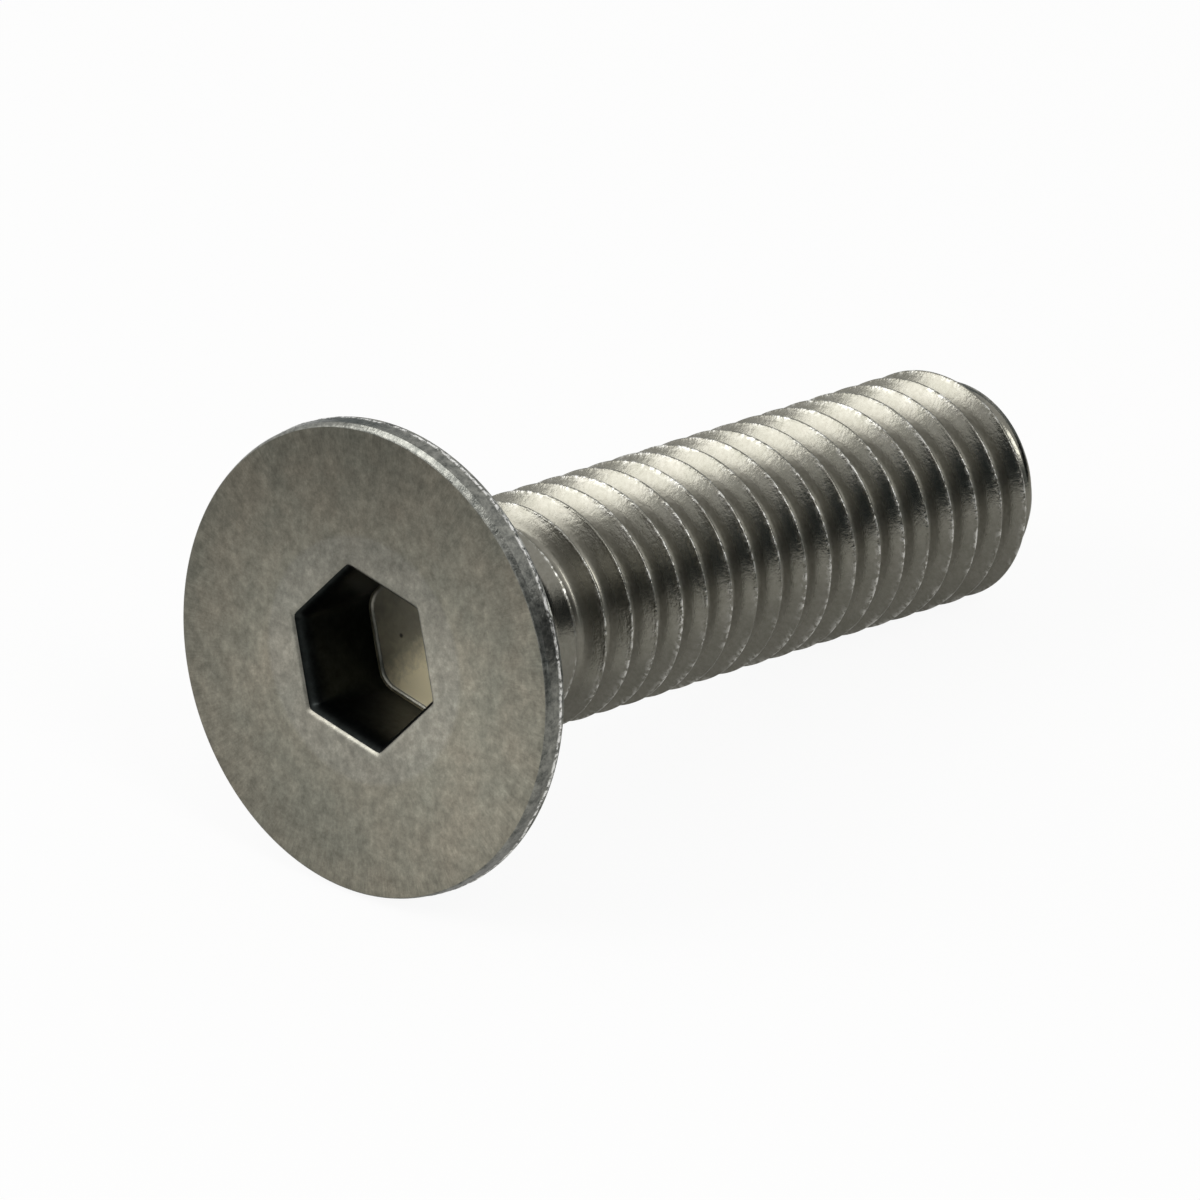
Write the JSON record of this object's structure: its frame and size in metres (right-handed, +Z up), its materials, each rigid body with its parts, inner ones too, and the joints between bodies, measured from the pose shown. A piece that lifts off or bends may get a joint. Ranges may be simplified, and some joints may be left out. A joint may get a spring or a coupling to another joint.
{
  "type": "countersunk socket screw",
  "caption": "Countersunk screw with a hexagon socket in its flat face, a cone under the head and a right-hand metric thread along the whole shank, lying at rest.",
  "frame": {"origin": "on the floor under the middle of the screw's bounding box, as it lies at rest", "axes": "+X level, from the head's side to the tip's, with the screw's own axis in the XZ plane and dipping 8.26 degrees below +X towards the tip; +Z up"},
  "size_m": [0.0312, 0.016, 0.0159],
  "materials": {
    "stainless_steel": "satin, cold-headed and rolled austenitic stainless steel"
  },
  "bodies": {
    "root": {"screw": "stainless_steel"}
  },
  "joints": []
}
